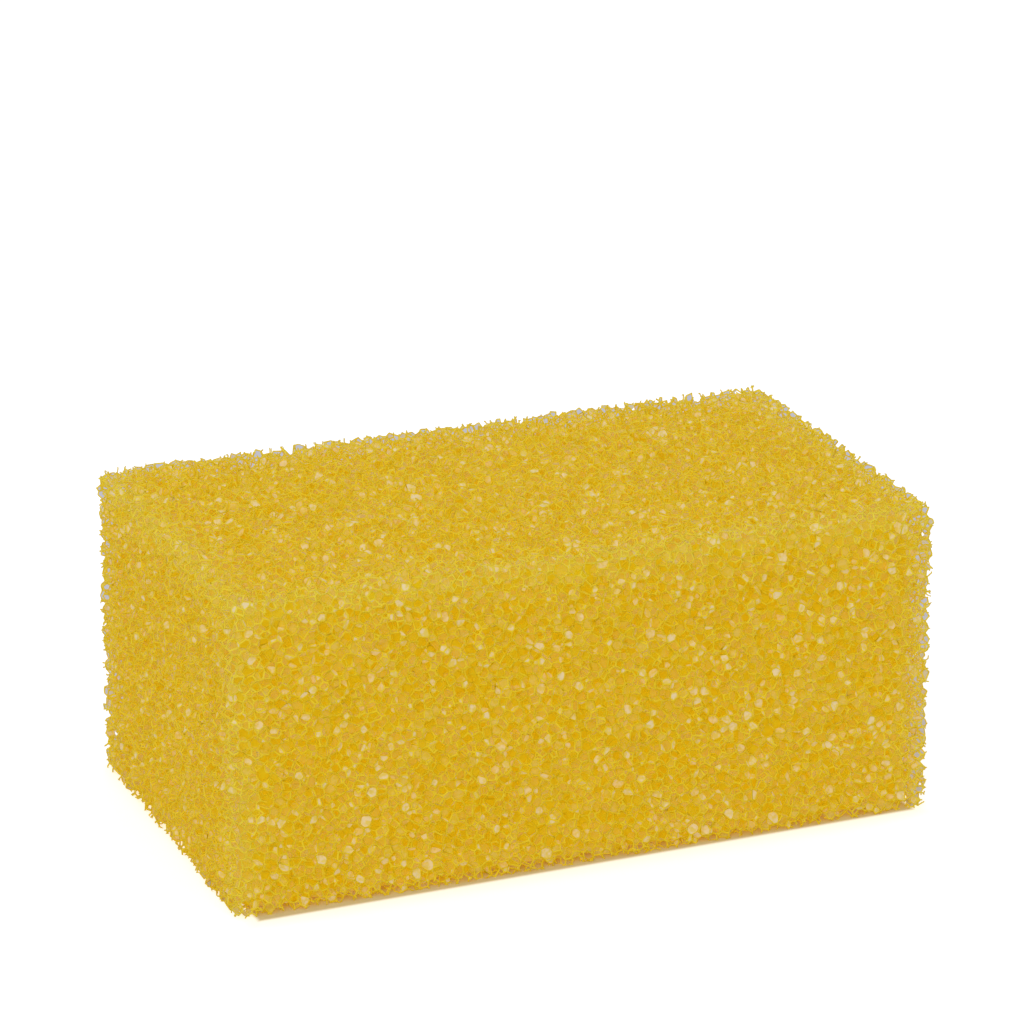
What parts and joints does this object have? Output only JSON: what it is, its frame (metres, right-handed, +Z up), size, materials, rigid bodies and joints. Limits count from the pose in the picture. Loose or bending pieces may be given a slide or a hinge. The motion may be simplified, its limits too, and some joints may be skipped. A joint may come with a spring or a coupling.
{
  "type": "foam sponge",
  "caption": "Rectangular hand sponge of coarse open-cell yellow foam, cut flat on every face with softened edges.",
  "frame": {"origin": "centre of the bottom face, which the block rests on", "axes": "+X along the long side, +Y from front to back, +Z up, through the thinnest way of the block"},
  "size_m": [0.16, 0.09, 0.07],
  "materials": {
    "foam": "matte open-cell foam with thin shiny cell skins"
  },
  "bodies": {
    "root": {"foam_block": "foam"}
  },
  "joints": []
}
